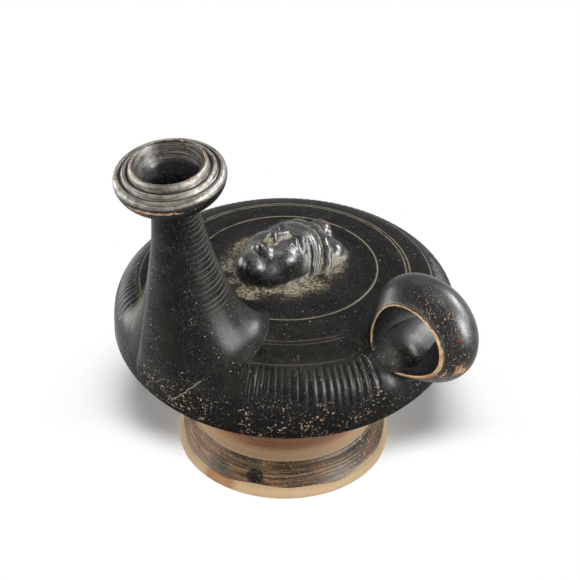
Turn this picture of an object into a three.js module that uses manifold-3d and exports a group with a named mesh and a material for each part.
// A guttus: a squat black-gloss oil vessel with a leaning spout, a ring handle and a relief medallion.
// Millimetres, +Z up. Each luted clay piece is its own mesh. The vessel is modelled about its wheel axis,
// with the spout towards -Y and the handle near +X, and is then moved so that the origin is the middle of
// its footprint on the plane it stands on.
import * as THREE from "three";
import { mergeVertices } from "three/addons/utils/BufferGeometryUtils.js";
import Module from "manifold-3d";

const wasm = await Module();
wasm.setup();

// How finely the pieces are faceted: first round their axes, and then along their outlines
const facets = {
  body: 48,
  foot: 48,
  mouth: 40,
  neck: 36,
  loop: 40,
  medallion: 76,
  shoulderCurve: 12,
  bowlCurve: 8,
  hollowCurve: 7,
  flankCurve: 4,
  stemCurve: 3,
  lipCurve: 5,
  skirtCurve: 11,
  strapCurve: 6,
  relief: 17,
  margin: 4,
};

// Gap at a luted seam, and how far a cutting solid runs past what it cuts
const seam = 0.3;
const overrun = 2;

// The foot, thrown with its stem
const foot = {
  radius: 35.6,
  height: 26.1,
  wall: 4.6,
  crown: 5,
  edgeHeight: 3.4,
  edgeInset: 1.1,
  flankTopRadius: 31,
  flankTopLevel: 11.2,
  flankHollow: 0.7,
  beadRadius: 30.6,
  beadHeight: 1.2,
  beadDepth: 0.5,
  waistRadius: 26.6,
  waistDrop: 5.6,
  seatRadius: 27.5,
};
const stemBendShare = 0.4;

// The thrown body, whose outer and inner walls are superellipses that meet at the widest level
const body = {
  radius: 56,
  shoulderRise: 22,
  shoulderPower: 3.3,
  bowlDrop: 26,
  bowlPower: 1.75,
  wall: 4,
  floor: 4.4,
  hollowPower: 2.2,
};

// The head in relief: its length from chin to crown, its turn in degrees towards +X, its place there,
// how deep its middle lies and the fillet round it
const head = { length: 36, turnAngle: 4, side: -1.2, along: -1.4, sink: 1.4, fillet: 1.6 };

// The mould-made medallion, let into a bevelled opening in the shoulder, with a margin round the head
const medallion = { margin: 1.4, bevel: 2.2 };

// Grooves turned in the shoulder: one round the medallion, a close pair, and one above the ribs. Each
// has its step from the last, but the outer one's is from the body's edge.
const groove = {
  innerStep: 4.9,
  toPair: 9.3,
  pairStep: 1.3,
  fromEdge: 8.7,
  width: 0.9,
  depth: 0.4,
};

// The spout: a thrown neck that leans outwards, and whose skirt spreads over the shoulder and down the wall
const neck = {
  fromEdge: 14.3,
  leanAngle: 7.5,
  length: 50,
  straight: 14,
  topRadius: 6.7,
  waistRadius: 8.2,
  wall: 2,
  bendAlong: 5,
  bendRadius: 13.4,
  spreadSideways: 25,
  spreadOutwards: 14.4,
  belowWidest: 1,
  belly: 0.9,
  bellyDrop: 9,
  bellyBend: 1.8,
  root: 1.5,
};
const taperShare = 0.42;

// The mouth, a turned ring on the neck: each radius is a step in from the last, and each level a rise
const mouth = {
  radius: 16.8,
  lipHeight: 8,
  throatHeight: 3.6,
  rollInset: 1.1,
  rollRise: 1.5,
  stepInset: 0.9,
  stepRise: 0.4,
  bandInset: 2.1,
  bandRise: 0.5,
  rimInset: 1.8,
  rimRise: 2.2,
  hollow: 0.6,
};
const rimBulgeShare = 0.7;

// The ring handle, a barrel-shaped strap that stands astride the shoulder's edge. Its ring is a little
// longer along one line, at an angle from the outward direction, than across it.
const handle = {
  azimuthAngle: 3,
  pastEdge: 0.7,
  aboveTop: 2.2,
  outerRadius: 17.8,
  stretch: 0.6,
  stretchAngle: -24,
  strap: 3.3,
  rimDrop: 5.4,
  rimEdge: 1.3,
  halfWidth: 9,
  rootSpread: 3.4,
  rootAngle: 225,
};

// The head's forms as shares of its length, from its middle: x is its left, y its crown and z its front.
// A form has a centre, radii and the softness of its join, and a bar two ends, two radii and that softness.
const groundShares = [0.436, 0.606];
const skullShares = [[0, 0.1, -0.08], [0.34, 0.38, 0.41]];
const capShares = [[0, 0.12, -0.1], [0.4, 0.41, 0.45]];
const faceFormShares = [
  [[0, -0.12, 0.08], [0.265, 0.35, 0.29], 0.1],
  [[0, -0.4, 0.24], [0.085, 0.07, 0.08], 0.07],
  [[0.135, -0.1, 0.22], [0.11, 0.11, 0.1], 0.08],
];
const jawShares = [[0.19, -0.18, 0.02], [0.04, -0.4, 0.2], 0.075, 0.07, 0.08];
const socketShares = [[0.115, 0.02, 0.42], [0.085, 0.05, 0.07], 0.05];
const featureFormShares = [
  [[0.112, 0.02, 0.3], [0.06, 0.045, 0.05], 0.012],
  [[0, -0.265, 0.325], [0.1, 0.06, 0.05], 0.05],
];
const featureBarShares = [
  [[0.03, 0.09, 0.35], [0.17, 0.08, 0.28], 0.024, 0.018, 0.04],
  [[0, 0.1, 0.34], [0, -0.14, 0.4], 0.03, 0.046, 0.04],
  [[0.016, -0.248, 0.375], [0.078, -0.262, 0.335], 0.02, 0.012, 0.012],
  [[0, -0.288, 0.368], [0.062, -0.276, 0.34], 0.022, 0.012, 0.012],
];
const bagFormShares = [
  [[0, 0.5, 0.13], [0.13, 0.1, 0.13], 0.03],
  [[0.18, 0.43, -0.04], [0.19, 0.16, 0.23], 0.04],
];

// The cap's folds fan out from a line behind the ears. Angles in degrees, the rest in shares of the head.
const fan = { edge: 49, step: 11.5 };
const fanShares = { pivotUp: -0.16, pivotFront: -0.24, roll: 0.042, fold: 0.028, blend: 0.015 };

const gloss = new THREE.MeshStandardMaterial({ color: 0x1b1b1c, roughness: 0.34, metalness: 0 });
const thinGloss = new THREE.MeshStandardMaterial({ color: 0x26221f, roughness: 0.36, metalness: 0 });
const bareClay = new THREE.MeshStandardMaterial({ color: 0x8a5f42, roughness: 0.7, metalness: 0 });

const { degToRad, radToDeg, lerp, clamp } = THREE.MathUtils;

// Even shares from 0 to 1, both ends included, and even angles round a circle
const shares = (count) => Array.from({ length: count + 1 }, (_, i) => i / count);
const anglesRound = (count) => Array.from({ length: count }, (_, i) => (i / count) * 2 * Math.PI);

// Level of a superellipse at a radius: 1 at its axis and 0 at its widest
const superLevel = (radius, widest, power) =>
  Math.pow(1 - Math.pow(Math.min(Math.abs(radius) / widest, 1), power), 1 / power);

// A superellipse's outline as [radius, level] pairs, from its widest point in as far as a radius
function superArc(widest, rise, level, power, radius, count) {
  const end = Math.acos(Math.pow(radius / widest, power / 2));
  return shares(count).map((share) => [
    widest * Math.pow(Math.max(Math.cos(end * share), 0), 2 / power),
    level + rise * Math.pow(Math.sin(end * share), 2 / power),
  ]);
}

// Levels that follow from the sizes above, and the body's outer surface
const widestLevel = foot.height + body.bowlDrop * superLevel(foot.seatRadius, body.radius, body.bowlPower);
const topLevel = widestLevel + body.shoulderRise;
const shoulderLevel = (radius) =>
  widestLevel + body.shoulderRise * superLevel(radius, body.radius, body.shoulderPower);
const wallRadius = (level) => {
  const above = level > widestLevel;
  const share = (level - widestLevel) / (above ? body.shoulderRise : body.bowlDrop);
  return body.radius * superLevel(share, 1, above ? body.shoulderPower : body.bowlPower);
};

// The ground that the head takes up, and the medallion's radius, which follows from it
const [headHalfWidth, headHalfLength] = groundShares.map((share) => share * head.length);
const medallionRadius = headHalfLength + Math.abs(head.along) + medallion.margin;

// The grooves' radii
const innerGrooveRadius = medallionRadius + groove.innerStep;
const pairRadius = innerGrooveRadius + groove.toPair;
const outerGrooveRadius = body.radius - groove.fromEdge;

// Signed volume of a closed triangle mesh
function volumeOf(points, index) {
  let sum = 0;
  for (let i = 0; i < index.length; i += 3) {
    const [a, b, c] = [points[index[i]], points[index[i + 1]], points[index[i + 2]]];
    sum += a.dot(b.clone().cross(c)) / 6;
  }
  return sum;
}

// Triangles of a fan from a new middle point to one ring
function capTriangles(points, start, count) {
  const middle = new THREE.Vector3();
  for (let i = 0; i < count; i += 1) middle.add(points[start + i]);
  const apex = points.push(middle.divideScalar(count)) - 1;
  return Array.from({ length: count }, (_, i) => [apex, start + i, start + ((i + 1) % count)]);
}

// A closed solid through rings of points. The rings join in order, and then either the last joins the
// first, where loop is set, or the two ends are capped.
function loft(rings, loop = false) {
  const around = rings[0].length;
  const points = rings.flat();
  const index = [];
  const spans = loop ? rings.length : rings.length - 1;
  for (let ring = 0; ring < spans; ring += 1) {
    const here = ring * around;
    const next = ((ring + 1) % rings.length) * around;
    for (let i = 0; i < around; i += 1) {
      const j = (i + 1) % around;
      index.push(here + i, here + j, next + j, here + i, next + j, next + i);
    }
  }
  if (!loop) {
    const lastRing = (rings.length - 1) * around;
    for (const [apex, a, b] of capTriangles(points, 0, around)) index.push(apex, b, a);
    for (const [apex, a, b] of capTriangles(points, lastRing, around)) index.push(apex, a, b);
  }
  if (volumeOf(points, index) < 0) index.reverse();
  return new THREE.BufferGeometry().setFromPoints(points).setIndex(index);
}

// A solid turned about +Z from an outline of [radius, level] pairs, which starts and ends on the axis or
// closes on itself
function turned(outline, count) {
  let area = 0;
  outline.forEach(([r, z], i) => {
    const [nextR, nextZ] = outline[(i + 1) % outline.length];
    area += r * nextZ - nextR * z;
  });
  const ordered = area > 0 ? outline : [...outline].reverse();
  const profile = ordered.map(([r, z]) => new THREE.Vector2(r, z));
  if (profile[0].x > 0) profile.push(profile[0].clone());
  return new THREE.LatheGeometry(profile, count).rotateX(Math.PI / 2);
}

// A geometry as a manifold solid, and a manifold solid as a geometry
function solid(geometry) {
  const bare = (geometry.index ? geometry.toNonIndexed() : geometry).clone();
  bare.deleteAttribute("normal");
  bare.deleteAttribute("uv");
  const merged = mergeVertices(bare);
  return new wasm.Manifold(
    new wasm.Mesh({
      numProp: 3,
      vertProperties: merged.attributes.position.array,
      triVerts: new Uint32Array(merged.index.array),
    }),
  );
}

function geometryOf(shape) {
  const { vertProperties, triVerts } = shape.getMesh();
  const geometry = new THREE.BufferGeometry();
  geometry.setAttribute("position", new THREE.BufferAttribute(new Float32Array(vertProperties), 3));
  geometry.setIndex(new THREE.BufferAttribute(new Uint32Array(triVerts), 1));
  return geometry;
}

function piece(name, geometry, material) {
  const mesh = new THREE.Mesh(geometry, material);
  mesh.name = name;
  return mesh;
}

// The body's whole outer form as one filled solid, grown by a seam, which trims whatever is luted on to it
function bodyTrimmer() {
  const grown = body.radius + seam;
  const fine = 2 * facets.shoulderCurve;
  const upper = superArc(grown, body.shoulderRise + seam, widestLevel, body.shoulderPower, 0, fine);
  const lower = superArc(grown, -body.bowlDrop - seam, widestLevel, body.bowlPower, 0, fine);
  return solid(turned([...upper.reverse(), ...lower.slice(1)], 2 * facets.body));
}

// Where the spout stands on the shoulder, and the directions along, across and in front of it
const lean = degToRad(neck.leanAngle);
const standRadius = body.radius - neck.fromEdge;
const spoutFoot = new THREE.Vector3(0, -standRadius, shoulderLevel(standRadius));
const spoutAxis = new THREE.Vector3(0, -Math.sin(lean), Math.cos(lean));
const spoutSide = new THREE.Vector3(1, 0, 0);
const spoutFront = new THREE.Vector3().crossVectors(spoutSide, spoutAxis);

// A point beside the spout's axis: a distance along it, a radius, and an angle from +X towards its back
const besideSpout = (along, radius, angle) =>
  spoutFoot
    .clone()
    .addScaledVector(spoutAxis, along)
    .addScaledVector(spoutSide, radius * Math.cos(angle))
    .addScaledVector(spoutFront, -radius * Math.sin(angle));

// The throat under the mouth and the bore below it
const throatRadius = neck.topRadius - neck.wall;
const boreRadius = neck.waistRadius - neck.wall;
const waistAlong = neck.length - neck.straight;

function makeFoot() {
  const beadLevel = foot.flankTopLevel + foot.beadHeight;
  const waistLevel = foot.height - foot.waistDrop;
  const edge = foot.radius - foot.edgeInset;
  const flank = shares(facets.flankCurve).map((share) => [
    lerp(edge, foot.flankTopRadius, share) - foot.flankHollow * Math.sin(Math.PI * share),
    lerp(foot.edgeHeight, foot.flankTopLevel, share),
  ]);
  const stem = new THREE.QuadraticBezierCurve(
    new THREE.Vector2(foot.beadRadius, beadLevel),
    new THREE.Vector2(foot.waistRadius, lerp(beadLevel, waistLevel, stemBendShare)),
    new THREE.Vector2(foot.waistRadius, waistLevel),
  ).getPoints(facets.stemCurve);
  const outer = [
    [foot.radius - foot.edgeInset / 2, 0],
    [foot.radius, foot.edgeHeight / 3],
    ...flank,
    [foot.flankTopRadius - foot.beadDepth, (foot.flankTopLevel + beadLevel) / 2],
    ...stem.map((p) => [p.x, p.y]),
  ];
  const crownLevel = foot.height - foot.crown;
  const under = outer
    .filter((_, i) => i % 2 === 0)
    .map(([r, z]) => [r - foot.wall, (z * crownLevel) / waistLevel]);
  const seat = [[foot.seatRadius, foot.height], [0, foot.height]];
  return turned([[0, crownLevel], ...under.reverse(), ...outer, ...seat], facets.foot);
}

function makeLowerBowl() {
  const { radius, bowlDrop, bowlPower, hollowPower } = body;
  const outer = superArc(radius, -bowlDrop, widestLevel, bowlPower, foot.seatRadius, facets.bowlCurve);
  const hollowDrop = widestLevel - foot.height - body.floor;
  const inner = superArc(radius - body.wall, -hollowDrop, widestLevel, hollowPower, 0, facets.hollowCurve);
  return turned([...inner.reverse(), ...outer, [0, foot.height]], facets.body);
}

// A groove's three outline points on the shoulder, from the outside inwards
const grooveCut = (radius) => {
  const half = groove.width / 2;
  return [
    [radius + half, shoulderLevel(radius + half)],
    [radius, shoulderLevel(radius) - groove.depth],
    [radius - half, shoulderLevel(radius - half)],
  ];
};

// The bevelled opening's lower edge, on the shoulder's inner wall
const openingRadius = medallionRadius - medallion.bevel;
const openingLevel =
  widestLevel +
  (body.shoulderRise - body.wall) * superLevel(openingRadius, body.radius - body.wall, body.shoulderPower);

function makeShoulder() {
  const { radius, shoulderRise, shoulderPower, wall } = body;
  const grooves = [outerGrooveRadius, pairRadius + groove.pairStep, pairRadius, innerGrooveRadius];
  const arc = (outside, rise, end, count) =>
    superArc(outside, rise, widestLevel, shoulderPower, end, count);
  const plain = arc(radius, shoulderRise, medallionRadius, facets.shoulderCurve).filter(([r]) =>
    grooves.every((cut) => Math.abs(r - cut) > groove.width),
  );
  const outer = [...plain, ...grooves.flatMap(grooveCut)].sort((a, b) => b[0] - a[0]);
  const inner = arc(radius - wall, shoulderRise - wall, openingRadius, facets.hollowCurve);
  const shell = solid(turned([...outer, ...inner.reverse()], facets.body));
  const drill = loft(
    [-2 * wall - overrun, wall + overrun].map((along) =>
      anglesRound(facets.neck).map((angle) => besideSpout(along, boreRadius, angle)),
    ),
  );
  return geometryOf(shell.subtract(solid(drill)));
}

// Distances to a rounded form and to a round bar, for the head. Negative inside.
const toForm = (p, centre, radii) => {
  const q = p.map((v, i) => (v - centre[i]) / radii[i]);
  const near = Math.hypot(...q);
  const slope = Math.hypot(...q.map((v, i) => v / radii[i]));
  return slope > 0 ? (near * (near - 1)) / slope : -Math.min(...radii);
};
const toBar = (p, start, end, startRadius, endRadius) => {
  const along = end.map((v, i) => v - start[i]);
  const from = p.map((v, i) => v - start[i]);
  const dot = along.reduce((sum, v, i) => sum + v * from[i], 0);
  const share = clamp(dot / along.reduce((sum, v) => sum + v * v, 0), 0, 1);
  return Math.hypot(...from.map((v, i) => v - along[i] * share)) - lerp(startRadius, endRadius, share);
};

// Two distances joined, or one cut by the other, with a rounded meeting
const join = (a, b, blend) => {
  const near = Math.max(blend - Math.abs(a - b), 0) / blend;
  return Math.min(a, b) - (near * near * blend) / 4;
};
const cutBy = (a, b, blend) => -join(-a, b, blend);

// Distance to the cap, with its rolled edge, at a point beside the head's middle plane
function toCap(p) {
  const [y, z] = [p[1] - fanShares.pivotUp, p[2] - fanShares.pivotFront];
  const turn = radToDeg(Math.atan2(y, z)) - fan.edge;
  const beyond = degToRad(turn) * Math.hypot(y, z);
  const ridge = Math.abs(Math.cos((turn / fan.step) * Math.PI));
  const shell = toForm(p, ...capShares);
  const edge = Math.hypot(shell, beyond) - fanShares.roll;
  return join(Math.max(shell - fanShares.fold * ridge, -beyond), edge, fanShares.blend);
}

// Distance to the head at a point given in shares of its length. Both sides are alike.
function toHead(point) {
  const p = [Math.abs(point[0]), point[1], point[2]];
  const addForm = (gap, [centre, radii, blend]) => join(gap, toForm(p, centre, radii), blend);
  const addBar = (gap, [start, end, first, last, blend]) =>
    join(gap, toBar(p, start, end, first, last), blend);
  let gap = faceFormShares.reduce(addForm, toForm(p, ...skullShares));
  gap = addBar(gap, jawShares);
  gap = cutBy(gap, toForm(p, ...socketShares), socketShares[2]);
  gap = featureFormShares.reduce(addForm, gap);
  gap = featureBarShares.reduce(addBar, gap);
  gap = join(gap, toCap(p), fanShares.blend);
  return bagFormShares.reduce(addForm, gap);
}

// Top of the medallion at a place: the shoulder's own curve with the head rising out of it. A ray falls
// from above in careful steps, each a share of the distance that is left.
function medallionLevel(x, y) {
  const [steps, stepShare] = [60, 0.7];
  const field = shoulderLevel(Math.hypot(x, y));
  const turn = degToRad(head.turnAngle);
  const middle = topLevel - head.sink;
  let level = field + head.length / 2;
  for (let step = 0; step < steps; step += 1) {
    const [dx, dy, dz] = [x - head.side, y - head.along, level - middle];
    const turnedBack = [
      dx * Math.cos(turn) - dz * Math.sin(turn),
      dy,
      dz * Math.cos(turn) + dx * Math.sin(turn),
    ];
    const gap = toHead(turnedBack.map((v) => v / head.length)) * head.length;
    level -= stepShare * join(gap, level - field, head.fillet);
  }
  return Math.max(level, field);
}

// A place on the medallion, by its share of the way out. The grid follows the head's oval up to its edge,
// and then spreads to the rim.
function medallionPlace(out, angle, rim) {
  const ovalShare = facets.relief / (facets.relief + facets.margin);
  const inOval = Math.min(out / ovalShare, 1);
  const beyond = Math.max((out - ovalShare) / (1 - ovalShare), 0);
  return [
    lerp(head.side + headHalfWidth * inOval * Math.cos(angle), rim * Math.cos(angle), beyond),
    lerp(head.along + headHalfLength * inOval * Math.sin(angle), rim * Math.sin(angle), beyond),
  ];
}

function makeMedallion() {
  const angles = anglesRound(facets.medallion);
  const upper = shares(facets.relief + facets.margin)
    .slice(1)
    .map((out) =>
      angles.map((angle) => {
        const [x, y] = medallionPlace(out, angle, medallionRadius - seam);
        return new THREE.Vector3(x, y, medallionLevel(x, y));
      }),
    );
  const bottom = openingRadius - seam;
  const flatRing = (radius) =>
    angles.map((a) => new THREE.Vector3(radius * Math.cos(a), radius * Math.sin(a), openingLevel));
  const lower = [bottom, bottom / 2].map(flatRing);
  return loft([...upper, ...lower]);
}

// How far the spout's skirt spreads in a direction: half an oval in front, and half a circle behind, which
// stops at the medallion
function skirtReach(side, back) {
  if (back < 0) return 1 / Math.hypot(side / neck.spreadSideways, back / neck.spreadOutwards);
  const halfChordSquared = medallionRadius ** 2 - (standRadius * side) ** 2;
  if (halfChordSquared < 0) return neck.spreadSideways;
  return Math.min(neck.spreadSideways, standRadius * back - Math.sqrt(halfChordSquared));
}

// One line of the spout's skirt, at an angle round its axis. It leaves the neck, spreads over the shoulder,
// and in front falls down the wall as a low belly.
function skirtLine(angle) {
  const [side, back] = [Math.cos(angle), Math.sin(angle)];
  const front = Math.max(-back, 0);
  const plan = besideSpout(0, skirtReach(side, back), angle);
  const out = Math.hypot(plan.x, plan.y);
  const backLevel = shoulderLevel(Math.min(out, outerGrooveRadius));
  const level = lerp(backLevel, widestLevel - neck.belowWidest, front);
  const radius = Math.min(out, wallRadius(level)) + lerp(-neck.root, neck.belly, front);
  const end = new THREE.Vector3(plan.x, plan.y, 0).setLength(radius);
  end.z = level - lerp(neck.root, 0, front);
  return new THREE.QuadraticBezierCurve3(
    besideSpout(waistAlong, neck.waistRadius, angle),
    besideSpout(neck.bendAlong - neck.bellyDrop * front, neck.bendRadius + neck.bellyBend * front, angle),
    end,
  );
}

function makeNeck(trimmer) {
  const angles = anglesRound(facets.neck);
  const tubeRings = (rings) =>
    rings.map(([along, radius]) => angles.map((angle) => besideSpout(along, radius, angle)));
  const lines = angles.map(skirtLine);
  const skirt = shares(facets.skirtCurve).map((share) => lines.map((line) => line.getPoint(share)));
  const inside = besideSpout(-body.wall, 0, 0);
  const rings = [
    ...tubeRings([
      [neck.length - seam, neck.topRadius],
      [neck.length - neck.straight / 2, lerp(neck.topRadius, neck.waistRadius, taperShare)],
    ]),
    ...skirt,
    lines.map((line) => line.getPoint(1).lerp(inside, 1 / 2)),
  ];
  const bore = loft(
    tubeRings([
      [-2 * body.wall - overrun, boreRadius],
      [waistAlong / 2, boreRadius],
      [neck.length + overrun, throatRadius],
    ]),
  );
  return geometryOf(solid(loft(rings)).subtract(solid(bore)).subtract(trimmer));
}

function makeMouth() {
  const rollRadius = mouth.radius - mouth.rollInset;
  const rollLevel = mouth.lipHeight + mouth.rollRise;
  const stepRadius = rollRadius - mouth.stepInset;
  const stepLevel = rollLevel + mouth.stepRise;
  const bandRadius = stepRadius - mouth.bandInset;
  const bandLevel = stepLevel + mouth.bandRise;
  const rimRadius = bandRadius - mouth.rimInset;
  const height = bandLevel + mouth.rimRise;
  const quarter = shares(facets.lipCurve).map((share) => (share * Math.PI) / 2);
  const under = quarter.map((angle) => [
    lerp(neck.topRadius, mouth.radius, Math.sin(angle)),
    mouth.lipHeight * (1 - Math.cos(angle)),
  ]);
  const top = [
    [rollRadius, rollLevel],
    [(rollRadius + stepRadius) / 2, rollLevel - mouth.hollow],
    [stepRadius, stepLevel],
    [(stepRadius + bandRadius) / 2, stepLevel - mouth.hollow],
    [bandRadius, bandLevel],
    [(bandRadius + rimRadius) / 2, lerp(bandLevel, height, rimBulgeShare)],
  ];
  const funnel = quarter.map((angle) => [
    lerp(rimRadius, throatRadius, 1 - Math.cos(angle)),
    lerp(height, mouth.throatHeight, Math.sin(angle)),
  ]);
  return turned([...under, ...top, ...funnel, [throatRadius, 0]], facets.mouth);
}

// One section of the handle's strap, at an angle round its ring: the outer face and then the inner one,
// each bowed across the strap
function strapSection(turn, centre, outward, across) {
  const rooted = Math.pow(Math.max(Math.cos(turn - degToRad(handle.rootAngle)), 0), 2);
  const half = handle.halfWidth + handle.rootSpread * rooted;
  const crown = handle.outerRadius + handle.stretch * Math.cos(2 * (turn - degToRad(handle.stretchAngle)));
  const rimOuter = crown - handle.rimDrop;
  const bowed = (side, middle, rim) => [side, lerp(middle, rim, side * side)];
  const sides = shares(facets.strapCurve).map((share) => lerp(-1, 1, share));
  const faces = [
    ...sides.map((side) => bowed(side, crown, rimOuter)),
    ...sides.map((side) => bowed(-side, crown - handle.strap, rimOuter - handle.rimEdge)),
  ];
  return faces.map(([side, radius]) =>
    centre
      .clone()
      .addScaledVector(outward, radius * Math.cos(turn))
      .addScaledVector(across, side * half)
      .add(new THREE.Vector3(0, 0, radius * Math.sin(turn))),
  );
}

function makeHandle(trimmer) {
  const azimuth = degToRad(handle.azimuthAngle);
  const outward = new THREE.Vector3(Math.cos(azimuth), Math.sin(azimuth), 0);
  const across = new THREE.Vector3(-Math.sin(azimuth), Math.cos(azimuth), 0);
  const centre = outward.clone().multiplyScalar(body.radius + handle.pastEdge);
  centre.z = topLevel + handle.aboveTop;
  const sections = anglesRound(facets.loop).map((turn) => strapSection(turn, centre, outward, across));
  return geometryOf(solid(loft(sections, true)).subtract(trimmer));
}

const trimmer = bodyTrimmer();
const vessel = new THREE.Group();
vessel.add(piece("foot", makeFoot(), bareClay));
vessel.add(piece("lower_bowl", makeLowerBowl(), gloss));
vessel.add(piece("shoulder", makeShoulder(), gloss));
vessel.add(piece("medallion", makeMedallion(), gloss));
vessel.add(piece("neck", makeNeck(trimmer), gloss));
vessel.add(piece("ring_handle", makeHandle(trimmer), gloss));

const mouthSeat = new THREE.Group();
mouthSeat.position.copy(spoutFoot).addScaledVector(spoutAxis, neck.length);
mouthSeat.rotation.x = lean;
mouthSeat.add(piece("mouth", makeMouth(), thinGloss));
vessel.add(mouthSeat);

// The footprint's middle becomes the origin
const footprint = new THREE.Box3().setFromObject(vessel, true).getCenter(new THREE.Vector3());
vessel.position.set(-footprint.x, -footprint.y, 0);

const guttus = new THREE.Group();
guttus.add(vessel);

export default guttus;
